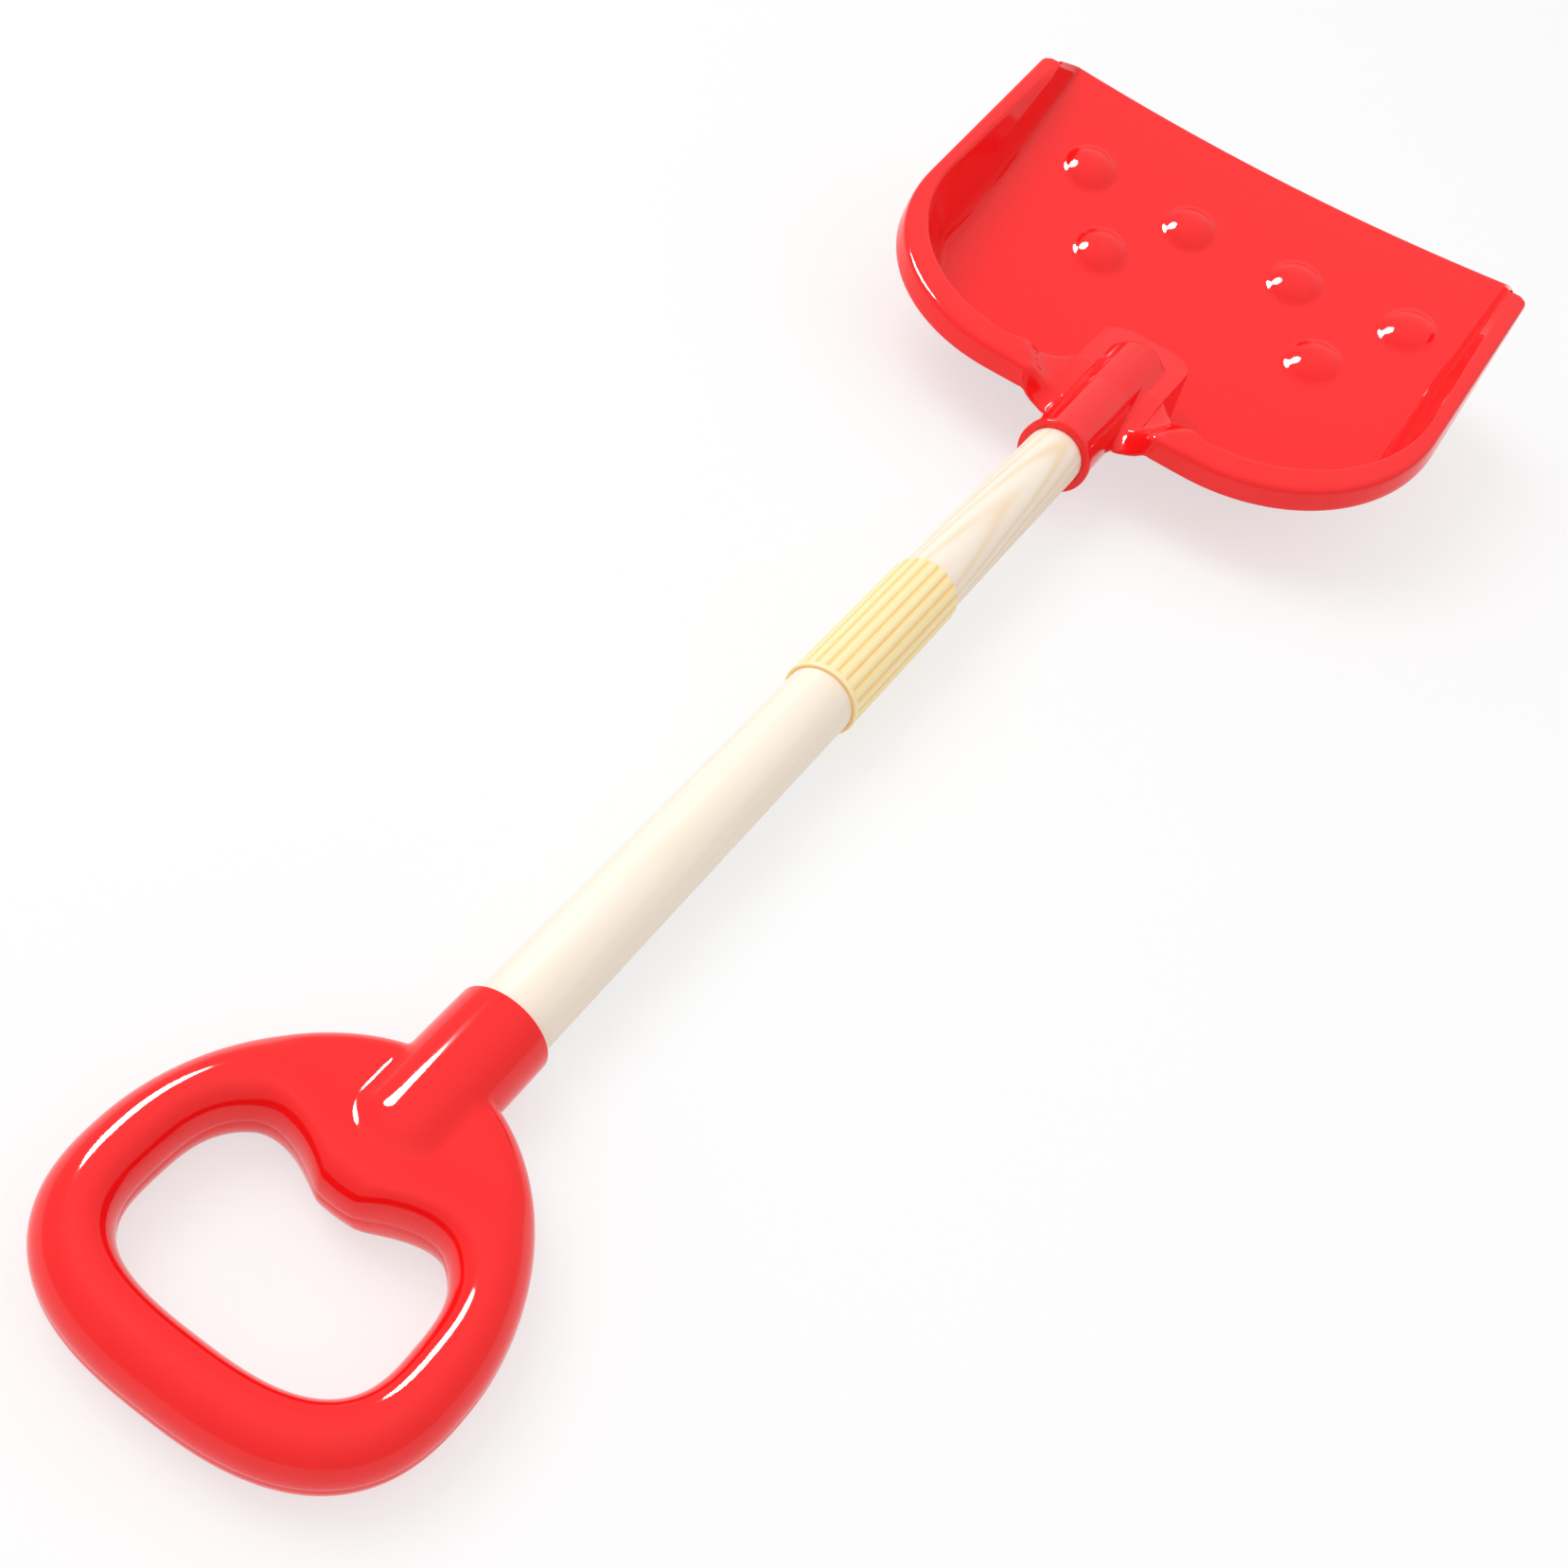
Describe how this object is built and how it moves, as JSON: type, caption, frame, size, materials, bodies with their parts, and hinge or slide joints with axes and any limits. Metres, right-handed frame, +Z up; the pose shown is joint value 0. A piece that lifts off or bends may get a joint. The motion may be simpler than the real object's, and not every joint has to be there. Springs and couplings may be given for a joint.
{
  "type": "toy sand shovel",
  "caption": "Child's sand shovel: wide scoop blade with rolled rim, six domed bumps and socket, wooden shaft, ribbed hand sleeve, hollow D-grip.",
  "frame": {"origin": "middle of the bounding box, on the ground plane that the shovel lies on", "axes": "+Y runs along the shaft from the D-grip to the scoop, +Z is up and out of the open side of the scoop, +X to the right"},
  "size_m": [0.2558, 0.7392, 0.0849],
  "materials": {
    "red_plastic": "glossy moulded red",
    "pine": "smooth sanded pine, unvarnished",
    "cream_plastic": "satin pale yellow, ribbed",
    "zinc": "zinc plated"
  },
  "bodies": {
    "root": {"blade": "red_plastic", "shaft": "pine", "sleeve": "cream_plastic", "grip_front_shell": "red_plastic", "grip_back_shell": "red_plastic", "blade_screw": "zinc", "grip_screw": "zinc"}
  },
  "joints": []
}
